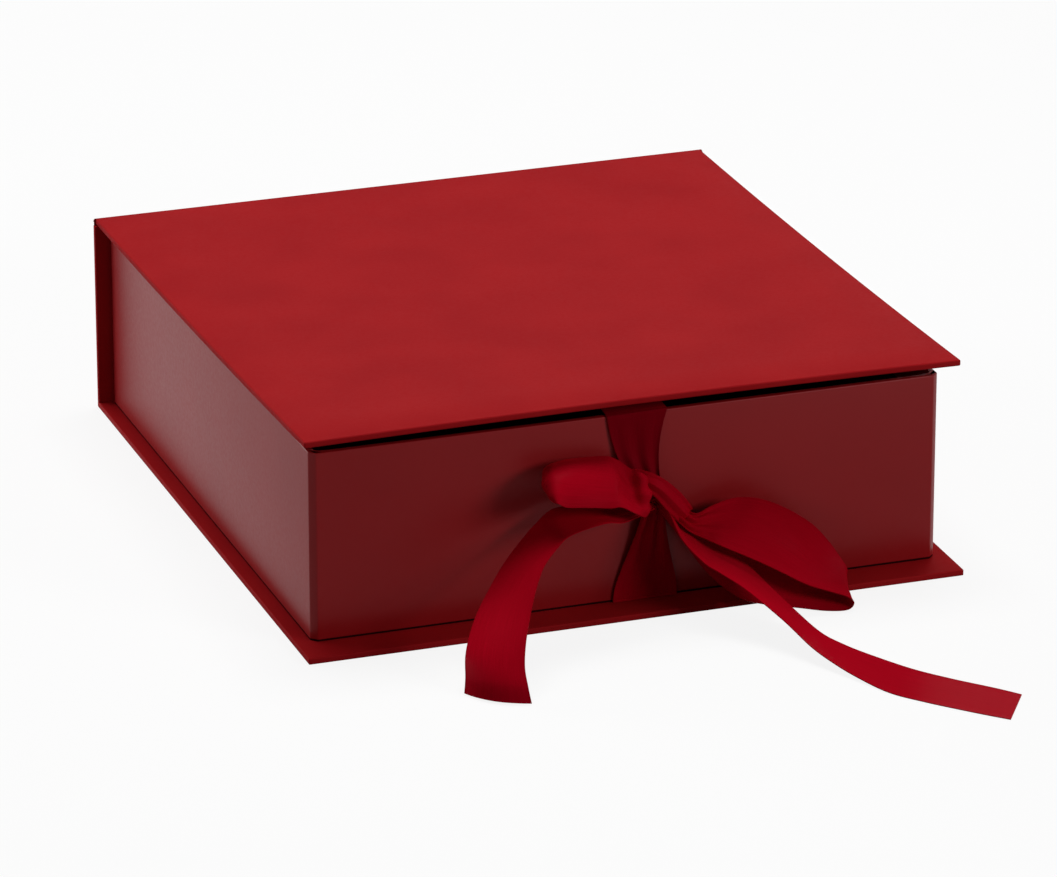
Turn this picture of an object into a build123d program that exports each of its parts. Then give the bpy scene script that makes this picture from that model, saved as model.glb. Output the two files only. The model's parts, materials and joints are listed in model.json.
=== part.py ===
"""Book-style chocolate box: a paper-covered case cover, hinged at the back, round a deep lined tray.

A satin ribbon glued under the lid and another glued under the tray are tied in a bow at the front.
X runs along the front, -Y is the front, +Z is up, and the origin is the middle of the underside.
"""
import os
from math import cos, sin, sqrt

from build123d import *

os.makedirs("parts", exist_ok=True)

# Case cover: one printed sheet round three greyboards
cover_width = 272.0
cover_depth = 294.0
lid_side_step = 1.0
lid_setback = 5.5
lid_lift = 5.4
board = 2.0
paper = 0.3
turn_in = 15.0
liner_margin = 4.0
glue_line = 0.1

# Tray: a floor and four mitred walls, wrapped outside and lined inside
tray_height = 78.0
front_ledge = 15.0
side_ledge = 6.0
corner_cut = 2.5
rim_turn_in = 14.0
stay_reach = 12.0
stay_tape = 0.15

# Running gaps
lid_gap = 0.8
fold_gap = 0.3
liner_gap = 0.2

# Satin ribbon
ribbon_width = 25.0
satin = 0.5
pinch = 1.8
ribbon_centre = 3.0
ribbon_tuck = 22.0
ribbon_slit = 5.0
slit_setback = 19.0
groove_fit = 0.1
rim_clear = 0.45
upper_ribbon_gap = 0.6
rim_turn = 1.0

# Bow
knot_width = 18.0
knot_depth = 10.0
knot_height = 17.0
knot_round = 3.8
knot_offset = 6.0
knot_rise = 47.4
left_loop_reach = 48.5
right_loop_reach = 73.0
loop_depth = 27.0
left_tail_reach = 88.0
left_tail_depth = 69.0
right_tail_reach = 95.0
right_tail_depth = 142.0
floor_clear = 0.1

# Levels and faces that follow from the sizes above
panel = paper + board + paper
base_front = -cover_depth / 2
base_back = cover_depth / 2
base_half = cover_width / 2
lid_width = cover_width - 2 * lid_side_step
tray_width = cover_width - 2 * side_ledge
base_top = panel
spine_inner = base_back - panel
tray_front = base_front + front_ledge
tray_depth = spine_inner - tray_front
tray_middle = (spine_inner + tray_front) / 2
tray_top = base_top + tray_height
floor_top = base_top + board
lining_foot = floor_top + paper
lining_top = tray_top - rim_turn_in
lid_under = tray_top + lid_gap
spine_top = lid_under - fold_gap

# The lid turns about the outer top corner of the spine, where the paper folds
fold_radius = paper
fold_y = base_back - fold_radius
fold_z = lid_under + panel - fold_radius
lid_back = fold_radius + fold_gap
lid_front = fold_y - (base_front + lid_setback)
lid_radius = lid_front**2 / (2 * lid_lift)


def finish(part, name):
    """Name a finished part and write it to its own file."""
    part.label = name
    export_step(part, f"parts/{name}.step")
    print(f"{name}: {part.volume:.0f} mm3, {len(part.solids())} solid(s)")


def block(x_limits, y_limits, z_limits, mode=Mode.ADD):
    """Add to or cut from the current part a block between three pairs of limits."""
    x_low, x_high = x_limits
    y_low, y_high = y_limits
    z_low, z_high = z_limits
    with BuildSketch(Plane.XY.offset(z_low)) as footprint:
        with Locations(((x_low + x_high) / 2, (y_low + y_high) / 2)):
            Rectangle(x_high - x_low, y_high - y_low)
    extrude(footprint.sketch, amount=z_high - z_low, mode=mode)


def lid_point(along, above):
    """Point of the warped lid: along is measured from the fold line, above from its underside."""
    radius = lid_radius - above
    angle = along / lid_radius
    return (fold_y - radius * sin(angle), lid_under + lid_radius - radius * cos(angle))


def lid_layer(start, end, low, high, width, middle_x=0, mode=Mode.ADD):
    """Add to or cut from the current part a layer that follows the lid's gentle warp."""
    middle = (start + end) / 2
    with BuildSketch(Plane.YZ.offset(middle_x)) as section:
        with BuildLine():
            ThreePointArc(lid_point(start, low), lid_point(middle, low), lid_point(end, low))
            Line(lid_point(end, low), lid_point(end, high))
            ThreePointArc(lid_point(end, high), lid_point(middle, high), lid_point(start, high))
            Line(lid_point(start, high), lid_point(start, low))
        make_face()
    extrude(section.sketch, amount=width / 2, both=True, mode=mode)


def tray_plan(inset, cut=0):
    """Plan of the tray drawn in by inset on every side, with its corners cut off where asked."""
    with BuildSketch() as plan:
        with Locations((0, tray_middle)):
            Rectangle(tray_width - 2 * inset, tray_depth - 2 * inset)
        if cut > 0:
            chamfer(plan.vertices(), length=cut)
    return plan.sketch


def cut_at(inset):
    """Leg of the corner cut on a plan that lies inset inside the tray's outer faces."""
    return corner_cut - inset * (2 - sqrt(2))


# Base board, its wrap and the lining sheet that fills the wrap's window
with BuildPart() as base_board:
    block((-base_half + paper, base_half - paper), (base_front + paper, fold_y), (paper, paper + board))
finish(base_board.part, "base_board")

window_half = base_half - turn_in
window_front = base_front + turn_in
with BuildPart() as base_wrap:
    block((-base_half, base_half), (base_front, base_back), (0, panel))
    block((-base_half, base_half), (fold_y, base_back), (paper, panel), Mode.SUBTRACT)
    block((-base_half + paper, base_half - paper), (base_front + paper, base_back), (paper, paper + board),
          Mode.SUBTRACT)
    block((-window_half, window_half), (window_front, base_back), (paper, panel), Mode.SUBTRACT)
finish(base_wrap.part, "base_wrap")

with BuildPart() as base_liner:
    block((-window_half + liner_gap, window_half - liner_gap), (window_front + liner_gap, fold_y),
          (paper + board, panel))
finish(base_liner.part, "base_liner")

# Spine: its board stands on the base and reaches up under the lid
with BuildPart() as spine_board:
    block((-base_half + paper, base_half - paper), (fold_y - board, fold_y), (base_top, spine_top))
finish(spine_board.part, "spine_board")

with BuildPart() as spine_wrap:
    with BuildSketch(Plane.YZ):
        with Locations(((fold_y + base_back) / 2, (paper + fold_z) / 2)):
            Rectangle(paper, fold_z - paper)
        with Locations((fold_y, fold_z)):
            Circle(fold_radius)
    extrude(amount=base_half, both=True)
    for side in (-1, 1):
        outer = side * base_half
        skin = side * (base_half - paper)
        inner = side * window_half
        block(sorted((outer, skin)), (spine_inner, fold_y), (base_top, spine_top))
        block(sorted((outer, inner)), (spine_inner, spine_inner + paper), (base_top, spine_top))
finish(spine_wrap.part, "spine_wrap")

with BuildPart() as spine_liner:
    block((-window_half + liner_gap, window_half - liner_gap), (spine_inner, spine_inner + paper),
          (base_top, spine_top))
finish(spine_liner.part, "spine_liner")

# Lid: board, wrap with its turn-ins, and a liner pasted over them
core_low = paper
core_high = paper + board
slit_start = lid_front - slit_setback - ribbon_slit
slit_end = lid_front - slit_setback
ribbon_slot = ribbon_width + 2 * groove_fit
groove = satin + groove_fit
with BuildPart() as lid_board:
    lid_layer(lid_back, lid_front - paper, core_low, core_high, lid_width - 2 * paper)
    lid_layer(slit_start - ribbon_tuck, slit_end, core_low, core_low + groove, ribbon_slot, ribbon_centre,
              Mode.SUBTRACT)
finish(lid_board.part, "lid_board")

with BuildPart() as lid_wrap:
    lid_layer(lid_back, lid_front, 0, panel, lid_width)
    lid_layer(0, lid_front - paper, core_low, core_high, lid_width - 2 * paper, mode=Mode.SUBTRACT)
    lid_layer(0, lid_front - turn_in, 0, core_high, lid_width - 2 * turn_in, mode=Mode.SUBTRACT)
finish(lid_wrap.part, "lid_wrap")

with BuildPart() as lid_liner:
    lid_layer(lid_back + liner_margin, lid_front - liner_margin, -paper, paper - glue_line,
              lid_width - 2 * liner_margin)
    add(lid_wrap.part, mode=Mode.SUBTRACT)
    lid_layer(slit_start, slit_end, -2 * paper, 2 * paper, ribbon_slot, ribbon_centre, Mode.SUBTRACT)
finish(lid_liner.part, "lid_liner")

# Plans of the tray's layers, from the outside in
plan_outside = tray_plan(0, corner_cut)
plan_boards = tray_plan(paper, cut_at(paper))
plan_under_tape = tray_plan(paper + stay_tape, cut_at(paper + stay_tape))
plan_room = tray_plan(paper + board)
plan_cavity = tray_plan(panel)

# Corner tape: four stays, each bent round one corner of the boards
with BuildSketch() as stays:
    add(plan_boards)
    add(plan_under_tape, mode=Mode.SUBTRACT)
    with Locations((0, tray_middle)):
        with GridLocations(tray_width, tray_depth, 2, 2):
            Rectangle(2 * stay_reach, 2 * stay_reach, mode=Mode.INTERSECT)
plan_stays = stays.sketch
wall_top = tray_top - paper
with BuildPart() as corner_stays:
    with BuildSketch(Plane.XY.offset(floor_top)):
        add(plan_stays)
    extrude(amount=wall_top - floor_top)
finish(corner_stays.part, "corner_stays")

# Tray floor, with a shallow groove under it for the lower ribbon's glued end
slot_half = ribbon_slot / 2
slot_limits = (ribbon_centre - slot_half, ribbon_centre + slot_half)
with BuildPart() as tray_floor:
    with BuildSketch(Plane.XY.offset(base_top)):
        add(plan_boards)
    extrude(amount=board)
    block(slot_limits, (tray_front, tray_front + paper + ribbon_tuck), (base_top, base_top + groove),
          Mode.SUBTRACT)
finish(tray_floor.part, "tray_floor")

# Each wall and its lining lie in one sector of the plan, bounded by the mitres at its two ends
cavity_half = tray_width / 2 - panel
cavity_front = tray_front + panel
cavity_back = spine_inner - panel
reach = 2 * panel
sectors = {
    "front": ((-cavity_half, cavity_front), (cavity_half, cavity_front),
              (cavity_half + reach, cavity_front - reach), (-cavity_half - reach, cavity_front - reach)),
    "back": ((-cavity_half, cavity_back), (cavity_half, cavity_back),
             (cavity_half + reach, cavity_back + reach), (-cavity_half - reach, cavity_back + reach)),
    "left": ((-cavity_half, cavity_front), (-cavity_half, cavity_back),
             (-cavity_half - reach, cavity_back + reach), (-cavity_half - reach, cavity_front - reach)),
    "right": ((cavity_half, cavity_front), (cavity_half, cavity_back),
              (cavity_half + reach, cavity_back + reach), (cavity_half + reach, cavity_front - reach)),
}
for side, corners in sectors.items():
    with BuildSketch() as sector:
        with BuildLine():
            Polyline(*corners, close=True)
        make_face()
    with BuildPart() as wall:
        with BuildSketch(Plane.XY.offset(floor_top)):
            add(plan_boards)
            add(plan_room, mode=Mode.SUBTRACT)
            add(plan_stays, mode=Mode.SUBTRACT)
            add(sector.sketch, mode=Mode.INTERSECT)
        extrude(amount=wall_top - floor_top)
    finish(wall.part, f"tray_{side}_wall")
    with BuildPart() as lining:
        with BuildSketch(Plane.XY.offset(lining_foot)):
            add(plan_room)
            add(plan_cavity, mode=Mode.SUBTRACT)
            add(sector.sketch, mode=Mode.INTERSECT)
        extrude(amount=lining_top - lining_foot)
    finish(lining.part, f"lining_{side}")

with BuildPart() as lining_floor:
    with BuildSketch(Plane.XY.offset(floor_top)):
        add(plan_room)
    extrude(amount=paper)
finish(lining_floor.part, "lining_floor")

# Tray wrap: outer skin, rim and the turn-in behind the rim
with BuildPart() as tray_wrap:
    with BuildSketch(Plane.XY.offset(base_top)):
        add(plan_outside)
        add(plan_boards, mode=Mode.SUBTRACT)
    extrude(amount=tray_height)
    with BuildSketch(Plane.XY.offset(wall_top)):
        add(plan_outside)
        add(plan_cavity, mode=Mode.SUBTRACT)
    extrude(amount=paper)
    with BuildSketch(Plane.XY.offset(lining_top)):
        add(plan_room)
        add(plan_cavity, mode=Mode.SUBTRACT)
    extrude(amount=rim_turn_in)
    block(slot_limits, (tray_front - paper, tray_front + paper), (base_top, base_top + groove), Mode.SUBTRACT)
finish(tray_wrap.part, "tray_wrap")

# Knot: a tight wad of satin against the tray's front, half way between rim and base
knot_x = ribbon_centre + knot_offset
knot_y = tray_front - rim_clear - knot_depth / 2
knot_z = base_top + knot_rise
with BuildPart() as ribbon_knot:
    with Locations((knot_x, knot_y, knot_z)):
        Box(knot_width, knot_depth, knot_height)
    fillet(ribbon_knot.edges(), radius=knot_round)
finish(ribbon_knot.part, "ribbon_knot")


def strip(stations):
    """Join a ribbon through stations of centre, direction across, width and thickness."""
    sections = []
    for index, (centre, across, width, thickness) in enumerate(stations):
        before = Vector(stations[max(index - 1, 0)][0])
        after = Vector(stations[min(index + 1, len(stations) - 1)][0])
        sideways = Vector(across).normalized()
        travel = after - before
        travel = travel - sideways * travel.dot(sideways)
        with BuildSketch(Plane(origin=centre, x_dir=sideways, z_dir=travel)) as section:
            Rectangle(width, thickness)
        sections.append(section.sketch)
    with BuildPart() as ribbon:
        for near_end, far_end in zip(sections, sections[1:]):
            loft([near_end, far_end], ruled=True)
    return ribbon.part


def side_view(stations):
    """Stations of a ribbon that runs up and down the box's middle, from (x, y, z, width, thickness)."""
    return [((x, y, z), (1, 0, 0), width, thickness) for x, y, z, width, thickness in stations]


# Upper ribbon: glued in the lid, out through the slit, over the rim and down to the knot
bend = rim_clear + satin / 2
hidden = core_low + satin / 2
tucked_y, tucked_z = lid_point(slit_start - ribbon_tuck + groove_fit, hidden)
slit_y, slit_z = lid_point(slit_start + satin, hidden)
exit_y, exit_z = lid_point(slit_end - ribbon_slit / 4, -paper - satin)
front_y = tray_front - bend
upper_end = knot_z + knot_height / 2 + upper_ribbon_gap
fall = tray_top - upper_end
narrowing_share = 0.55
lean_share = 0.35
upper_neck_share = 0.52
upper_half_share = 0.78
rim_over = bend * sin(rim_turn)
rim_up = bend * cos(rim_turn)
lid_ribbon = strip(side_view([
    (ribbon_centre, tucked_y, tucked_z, ribbon_width, satin),
    (ribbon_centre, slit_y, slit_z, ribbon_width, satin),
    (ribbon_centre, exit_y, exit_z, ribbon_width, satin),
    (ribbon_centre, tray_front + panel, tray_top + 2 * bend, ribbon_width, satin),
    (ribbon_centre, tray_front, tray_top + bend, ribbon_width, satin),
    (ribbon_centre, tray_front - rim_over, tray_top + rim_up, ribbon_width, satin),
    (ribbon_centre, front_y, tray_top, ribbon_width, satin),
    (ribbon_centre, front_y, tray_top - fall * narrowing_share * lean_share, ribbon_width, satin),
    (ribbon_centre + knot_offset * lean_share, front_y - satin / 2, tray_top - fall * narrowing_share,
     ribbon_width * upper_half_share, satin),
    (ribbon_centre + knot_offset / 2, front_y - pinch / 2, upper_end, ribbon_width * upper_neck_share, pinch / 2),
]))
finish(lid_ribbon, "lid_ribbon")

# Lower ribbon: glued under the tray, out through the notch and up to the knot
lower_end = knot_z - knot_height / 2
rise = lower_end - base_top
level = base_top + groove / 2
lower_neck_share = 0.3
lower_half_share = 0.7
with BuildPart() as base_ribbon:
    add(strip(side_view([
        (ribbon_centre, tray_front + ribbon_tuck, level, ribbon_width, satin),
        (ribbon_centre, tray_front, level, ribbon_width, satin),
        (ribbon_centre, tray_front - rim_over, level + bend - rim_up, ribbon_width, satin),
        (ribbon_centre, front_y, level + bend, ribbon_width, satin),
        (ribbon_centre, front_y, level + rise * lean_share, ribbon_width, satin),
        (ribbon_centre + knot_offset * lean_share, front_y - satin, level + rise * upper_half_share,
         ribbon_width * lower_half_share, satin),
        (ribbon_centre + knot_offset, knot_y, lower_end + knot_round, ribbon_width * lower_neck_share, pinch),
    ])))
    add(ribbon_knot.part, mode=Mode.SUBTRACT)
finish(base_ribbon.part, "base_ribbon")


def bow_strip(reach, depth, rows):
    """Strip of the bow from rows of shares: along reach, out from the tray, height, direction, width."""
    stations = []
    for along_share, out_share, height_share, across, width_share in rows:
        centre = (knot_x + reach * along_share, tray_front - depth * out_share, knot_z * height_share)
        gathered = satin + (pinch - satin) * (1 - width_share)
        stations.append((centre, across, ribbon_width * width_share, gathered))
    with BuildPart() as ribbon:
        add(strip(stations))
        add(ribbon_knot.part, mode=Mode.SUBTRACT)
    return ribbon.part


# Left loop: out along the tray, round and back beneath itself
left_loop_shares = (
    (0.10, 0.30, 1.08, (0.0, 0.5, 0.87), 0.34),
    (0.35, 0.50, 1.16, (0.1, 0.8, 0.6), 0.82),
    (0.60, 0.62, 1.21, (0.15, 0.85, 0.5), 0.97),
    (0.86, 0.62, 1.23, (0.2, 0.88, 0.42), 1.0),
    (0.97, 0.61, 1.21, (0.2, 0.88, 0.42), 1.0),
    (1.00, 0.60, 1.17, (0.2, 0.88, 0.42), 1.0),
    (0.97, 0.59, 1.135, (0.2, 0.88, 0.42), 1.0),
    (0.86, 0.57, 1.11, (0.2, 0.88, 0.42), 1.0),
    (0.56, 0.50, 1.10, (0.15, 0.85, 0.5), 0.92),
    (0.33, 0.36, 1.09, (0.1, 0.8, 0.6), 0.64),
    (0.10, 0.16, 1.05, (0.0, 0.5, 0.87), 0.3),
)
finish(bow_strip(-left_loop_reach, loop_depth, left_loop_shares), "left_loop")

# Right loop: a drooping leaf that turns just above the floor
right_loop_shares = (
    (0.06, 0.26, 1.02, (0.2, 0.3, 0.93), 0.34),
    (0.22, 0.40, 0.88, (0.5, 0.5, 0.7), 0.6),
    (0.37, 0.54, 0.75, (0.6, 0.6, 0.53), 0.9),
    (0.58, 0.68, 0.63, (0.55, 0.35, 0.76), 1.0),
    (0.73, 0.79, 0.48, (0.65, 0.5, 0.57), 1.0),
    (0.86, 0.90, 0.30, (0.63, 0.75, 0.2), 1.0),
    (0.96, 0.98, 0.155, (0.5, 0.86, -0.08), 1.0),
    (1.00, 0.99, 0.10, (0.5, 0.86, -0.04), 1.0),
    (0.97, 0.97, 0.062, (0.5, 0.86, 0.0), 1.0),
    (0.88, 0.92, 0.07, (0.5, 0.85, 0.08), 1.0),
    (0.70, 0.80, 0.14, (0.5, 0.82, 0.28), 1.0),
    (0.47, 0.48, 0.27, (0.35, 0.6, 0.72), 0.95),
    (0.27, 0.25, 0.46, (0.1, 0.2, 0.97), 0.8),
    (0.08, 0.17, 0.87, (0.2, 0.5, 0.84), 0.26),
)
finish(bow_strip(right_loop_reach, loop_depth, right_loop_shares), "right_loop")

# Left tail: arches out from under the loop and stands on its cut end
floor_share = (satin / 2 + floor_clear) / knot_z
left_tail_shares = (
    (0.09, 0.09, 0.90, (0.0, -0.8, 0.6), 0.3),
    (0.26, 0.195, 0.90, (-0.11, -0.99, 0.09), 0.84),
    (0.48, 0.25, 0.90, (-0.1, -0.99, -0.05), 1.0),
    (0.66, 0.375, 0.77, (0.06, -0.99, 0.0), 1.0),
    (0.80, 0.56, 0.60, (0.43, -0.88, 0.2), 1.0),
    (0.92, 0.76, 0.35, (0.65, -0.75, 0.07), 1.0),
    (0.965, 0.88, 0.17, (0.8, -0.6, 0.0), 1.0),
    (1.00, 1.00, floor_share, (0.8, -0.6, 0.0), 1.0),
)
finish(bow_strip(-left_tail_reach, left_tail_depth, left_tail_shares), "left_tail")

# Right tail: slides down to the floor, twisting flat, and lies there to its slanting cut
right_tail_shares = (
    (0.06, 0.06, 0.84, (0.3, 0.4, -0.87), 0.26),
    (0.11, 0.098, 0.68, (0.5, 0.7, -0.5), 0.6),
    (0.19, 0.145, 0.54, (0.53, 0.82, -0.2), 0.9),
    (0.31, 0.24, 0.37, (0.48, 0.85, -0.2), 1.0),
    (0.40, 0.35, 0.215, (0.49, 0.85, -0.18), 1.0),
    (0.47, 0.46, 0.115, (0.5, 0.85, -0.14), 1.0),
    (0.53, 0.55, 0.06, (0.55, 0.83, -0.08), 1.0),
    (0.59, 0.635, 0.03, (0.62, 0.78, -0.03), 1.0),
    (0.68, 0.755, floor_share, (0.75, 0.66, 0.0), 1.0),
    (0.79, 0.84, floor_share, (0.75, 0.66, 0.0), 1.0),
    (0.91, 0.93, floor_share, (0.75, 0.66, 0.0), 1.0),
    (1.00, 1.00, floor_share, (0.62, 0.78, 0.0), 1.0),
)
finish(bow_strip(right_tail_reach, right_tail_depth, right_tail_shares), "right_tail")
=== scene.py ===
# %% [markdown]
# # A book-style chocolate box in red paper, tied with satin ribbon
# The construction model holds the boards, papers and linings at their real size. This lesson dresses it:
# the visible papers get soft, wrapped edges, the ribbon is laid as cloth, and every surface gets the
# finish of its real material, with painted shade on the tray's paper, in the crease at its foot and on
# the ribbon that hangs from the lid. All lengths are metres, in the construction model's own frame.

# %% Load the construction model as a fixed frame
import json
import math

import bmesh
import bpy
import numpy as np
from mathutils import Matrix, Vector


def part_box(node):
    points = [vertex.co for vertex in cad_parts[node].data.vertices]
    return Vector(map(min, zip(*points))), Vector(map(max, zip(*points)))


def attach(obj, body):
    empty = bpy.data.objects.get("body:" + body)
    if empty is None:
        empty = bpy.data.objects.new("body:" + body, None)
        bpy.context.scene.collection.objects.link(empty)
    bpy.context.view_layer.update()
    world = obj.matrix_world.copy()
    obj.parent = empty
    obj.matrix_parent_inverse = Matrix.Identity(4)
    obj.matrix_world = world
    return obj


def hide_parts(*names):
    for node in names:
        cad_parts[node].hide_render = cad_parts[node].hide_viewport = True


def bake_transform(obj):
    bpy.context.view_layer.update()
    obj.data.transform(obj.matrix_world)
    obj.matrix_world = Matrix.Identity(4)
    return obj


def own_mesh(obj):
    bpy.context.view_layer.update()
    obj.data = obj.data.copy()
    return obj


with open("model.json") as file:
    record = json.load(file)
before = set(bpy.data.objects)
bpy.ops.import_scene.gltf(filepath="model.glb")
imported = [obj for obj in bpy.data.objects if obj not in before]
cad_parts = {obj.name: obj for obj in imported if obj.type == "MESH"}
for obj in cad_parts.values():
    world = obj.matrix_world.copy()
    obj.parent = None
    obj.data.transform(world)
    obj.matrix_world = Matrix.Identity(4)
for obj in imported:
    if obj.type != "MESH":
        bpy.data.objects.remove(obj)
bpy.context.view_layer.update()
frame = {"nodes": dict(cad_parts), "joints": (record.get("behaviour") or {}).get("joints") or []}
hinge = frame["joints"][0]
fold = Vector(hinge["pos_m"])
MM = 0.001
PAPER = 0.3 * MM

# %% [markdown]
# ## The camera
# The photograph was taken from far away with a long lens, a little to the left of the front and above
# the lid. The lens is worked out from the focal length in pixels of the photograph's 1057 pixel wide frame.

# %% Place the camera
PHOTO_WIDTH = 1057
FOCAL_PIXELS = 6744.6
SENSOR_WIDTH = 36.0
azimuth = math.radians(-19.39)
elevation = math.radians(21.24)
camera_distance = 2.7007
camera_aim = Vector((-11.03, -45.46, 40.0)) * MM

camera_data = bpy.data.cameras.new("product_camera")
camera_data.sensor_width = SENSOR_WIDTH
camera_data.lens = FOCAL_PIXELS / PHOTO_WIDTH * SENSOR_WIDTH
camera = bpy.data.objects.new("product_camera", camera_data)
bpy.context.scene.collection.objects.link(camera)
away = Vector((math.sin(azimuth) * math.cos(elevation), -math.cos(azimuth) * math.cos(elevation),
               math.sin(elevation)))
camera.location = camera_aim + away * camera_distance
camera.rotation_mode = "QUATERNION"
camera.rotation_quaternion = (-away).to_track_quat("-Z", "Y")
bpy.context.scene.camera = camera
bpy.context.scene.view_settings.view_transform = "Standard"
print("lens:", round(camera_data.lens, 1), "mm")

# %% [markdown]
# ## Colours and nodes
# Colours are read off as sRGB hex values, and Blender's shaders work in linear light, so one function
# turns the first into the second. A second small function adds a node with its settings and its links.


# %% Helpers for materials
def linear(hex_value):
    """Turn an sRGB hex colour such as 9A1E23 into linear red, green, blue and full alpha."""
    channels = [int(hex_value[start:start + 2], 16) / 255 for start in (0, 2, 4)]
    return [c / 12.92 if c <= 0.04045 else ((c + 0.055) / 1.055) ** 2.4 for c in channels] + [1.0]


def add_node(tree, kind, inputs=None, **settings):
    """Add a node, set its properties, and set or link its inputs."""
    node = tree.nodes.new(kind)
    for name, value in settings.items():
        setattr(node, name, value)
    for name, value in (inputs or {}).items():
        if isinstance(value, bpy.types.NodeSocket):
            tree.links.new(value, node.inputs[name])
        else:
            node.inputs[name].default_value = value
    return node


def new_material(name):
    """Start an empty material and return it with its node tree."""
    material = bpy.data.materials.new(name)
    material.use_nodes = True
    material.node_tree.nodes.clear()
    return material, material.node_tree


def close_material(tree, surface):
    """Link a shader to the material's output."""
    add_node(tree, "ShaderNodeOutputMaterial", {"Surface": surface})


def mix_colours(tree, share, first, second):
    """Blend two colours by a share and return the colour socket."""
    node = add_node(tree, "ShaderNodeMix", {"Factor": share}, data_type="RGBA")
    for socket, value in ((node.inputs[6], first), (node.inputs[7], second)):
        if isinstance(value, bpy.types.NodeSocket):
            tree.links.new(value, socket)
        else:
            socket.default_value = value
    return node.outputs[2]


def spread(tree, value, low, high, start=0.0, end=1.0):
    """Map a value from one range to another and return the result."""
    node = add_node(tree, "ShaderNodeMapRange", {"Value": value, "From Min": low, "From Max": high,
                                                 "To Min": start, "To Max": end})
    return node.outputs["Result"]


# %% [markdown]
# ## Cover paper
# The box is wrapped in dyed, lightly embossed cover paper. Three things tell the eye that it is paper:
# a fine grain that breaks up the gloss, a faint cloudiness where the glue dried unevenly, and the way
# that it goes pale where it is seen at a low angle. Grain of 0.25 mm is too fine to show here, so it is
# drawn at 0.6 mm.


# %% The red papers
CLOUD_SIZE = 45 * MM
FIBRE_SIZE = 1.6 * MM
GRAIN_SIZE = 0.6 * MM
GRAIN_STRENGTH = 0.35
GLOSS_SWING = 0.04


def paper_material(name, colour, cloud_colour, roughness, specular, index, grain_depth=0.02):
    """Dyed cover paper: cloudy colour, fine grain and a soft gloss."""
    material, tree = new_material(name)
    place = add_node(tree, "ShaderNodeTexCoord").outputs["Object"]
    clouds = add_node(tree, "ShaderNodeTexNoise", {"Vector": place, "Scale": 1 / CLOUD_SIZE, "Detail": 3.0,
                                                   "Roughness": 0.55}).outputs["Fac"]
    fibres = add_node(tree, "ShaderNodeTexNoise", {"Vector": place, "Scale": 1 / FIBRE_SIZE, "Detail": 2.0,
                                                   "Roughness": 0.6}).outputs["Fac"]
    grain = add_node(tree, "ShaderNodeTexNoise", {"Vector": place, "Scale": 1 / GRAIN_SIZE,
                                                  "Detail": 1.0}).outputs["Fac"]
    cloudy = mix_colours(tree, spread(tree, clouds, 0.35, 0.65), linear(colour), linear(cloud_colour))
    flecked = mix_colours(tree, spread(tree, fibres, 0.55, 0.8, 0.0, 0.35), cloudy, linear(cloud_colour))
    bump = add_node(tree, "ShaderNodeBump", {"Height": grain, "Strength": GRAIN_STRENGTH,
                                             "Distance": grain_depth * MM})
    dullness = spread(tree, fibres, 0.3, 0.7, roughness - GLOSS_SWING, roughness + GLOSS_SWING)
    shader = add_node(tree, "ShaderNodeBsdfPrincipled", {
        "Base Color": flecked, "Roughness": dullness, "Specular IOR Level": specular, "IOR": index,
        "Normal": bump.outputs["Normal"]})
    close_material(tree, shader.outputs["BSDF"])
    return material


cover_paper = paper_material("matte_laminated_cover_paper", "A2191D", "9B151A", 0.55, 0.024, 1.4)
# The tray is wrapped in the cover's red paper with more gloss; its darker red is painted shade, for walls
# that get less light than the lid.
shade_painted_tray_paper = paper_material("calendered_tray_paper", "8D1216", "891014", 0.4, 0.6, 1.25)
# Painted shade: a near-black red for the strip turned under at the tray's foot, standing in for the shadow
# in that crease.
painted_crease_shade = paper_material("painted_shade_on_turned_under_paper", "2A0406", "240305", 0.8, 0.02, 1.4)
print("red papers:", cover_paper.name, shade_painted_tray_paper.name, painted_crease_shade.name)

# %% [markdown]
# ## Board, lining and tape
# Greyboard is pressed waste paper: grey-brown, flecked and dull. The lining is black paper, almost
# without gloss, and shows inside the open box. The corner tape is brown gummed kraft paper. Board and
# tape lie under the papers.

# %% The hidden papers
greyboard = paper_material("greyboard", "8F887C", "7C7568", 0.85, 0.3, 1.45, 0.06)
lining_paper = paper_material("black_lining_paper", "141213", "1B1819", 0.7, 0.3, 1.45)
kraft_tape = paper_material("kraft_corner_tape", "A98559", "9C784D", 0.6, 0.4, 1.45)
print("hidden papers:", greyboard.name, lining_paper.name, kraft_tape.name)

# %% [markdown]
# ## Satin ribbon
# Satin is woven so that the threads along the ribbon float over the others. They catch the light in a
# soft band across each bend, so the gloss is stretched. The real threads are 0.1 mm apart and can't be
# seen here, so the threads are drawn 0.5 mm apart, as a faint ripple across the ribbon's width. The
# ribbon's own map runs from 0 to 1 across it, and in ribbon widths along it. The reverse of such a
# ribbon is duller and darker. The stretch that hangs from the lid gets a darker copy of the satin, which is
# painted shade for the shade under the lid.

# %% The satin
RIBBON_WIDTH = 25 * MM
THREADS_ACROSS = 50
THREADS_ALONG = 1.5
SELVEDGE_SHARE = 0.035
WEAVE_DEPTH = 0.05 * MM
WEAVE_STRENGTH = 0.3


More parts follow.
